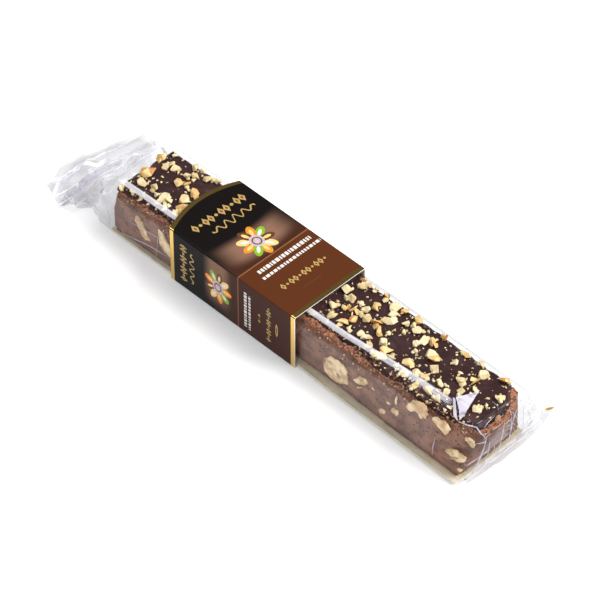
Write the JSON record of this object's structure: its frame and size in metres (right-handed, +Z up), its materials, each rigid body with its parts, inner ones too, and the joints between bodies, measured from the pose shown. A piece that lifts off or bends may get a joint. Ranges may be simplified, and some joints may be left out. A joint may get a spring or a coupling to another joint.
{
  "type": "wrapped nougat bar",
  "caption": "Cocoa nougat bar with a chocolate and chopped-nut top, on a card base, sealed in clear film with crimped ends and a printed card sleeve round its middle.",
  "frame": {"origin": "on the underside of the sleeve, halfway along the board and midway across the sleeve", "axes": "+X along the bar towards its moulded end, +Y to its far side, +Z up"},
  "size_m": [0.2497, 0.0573, 0.029],
  "materials": {
    "nougat": "matte, chewy",
    "chocolate": "satin",
    "board": "matte",
    "printed_card": "glossy print",
    "film": "clear gloss"
  },
  "bodies": {
    "root": {"nougat_body": "nougat", "chocolate_top": "chocolate", "card_base": "board", "card_sleeve": "printed_card", "clear_wrap": "film"}
  },
  "joints": []
}
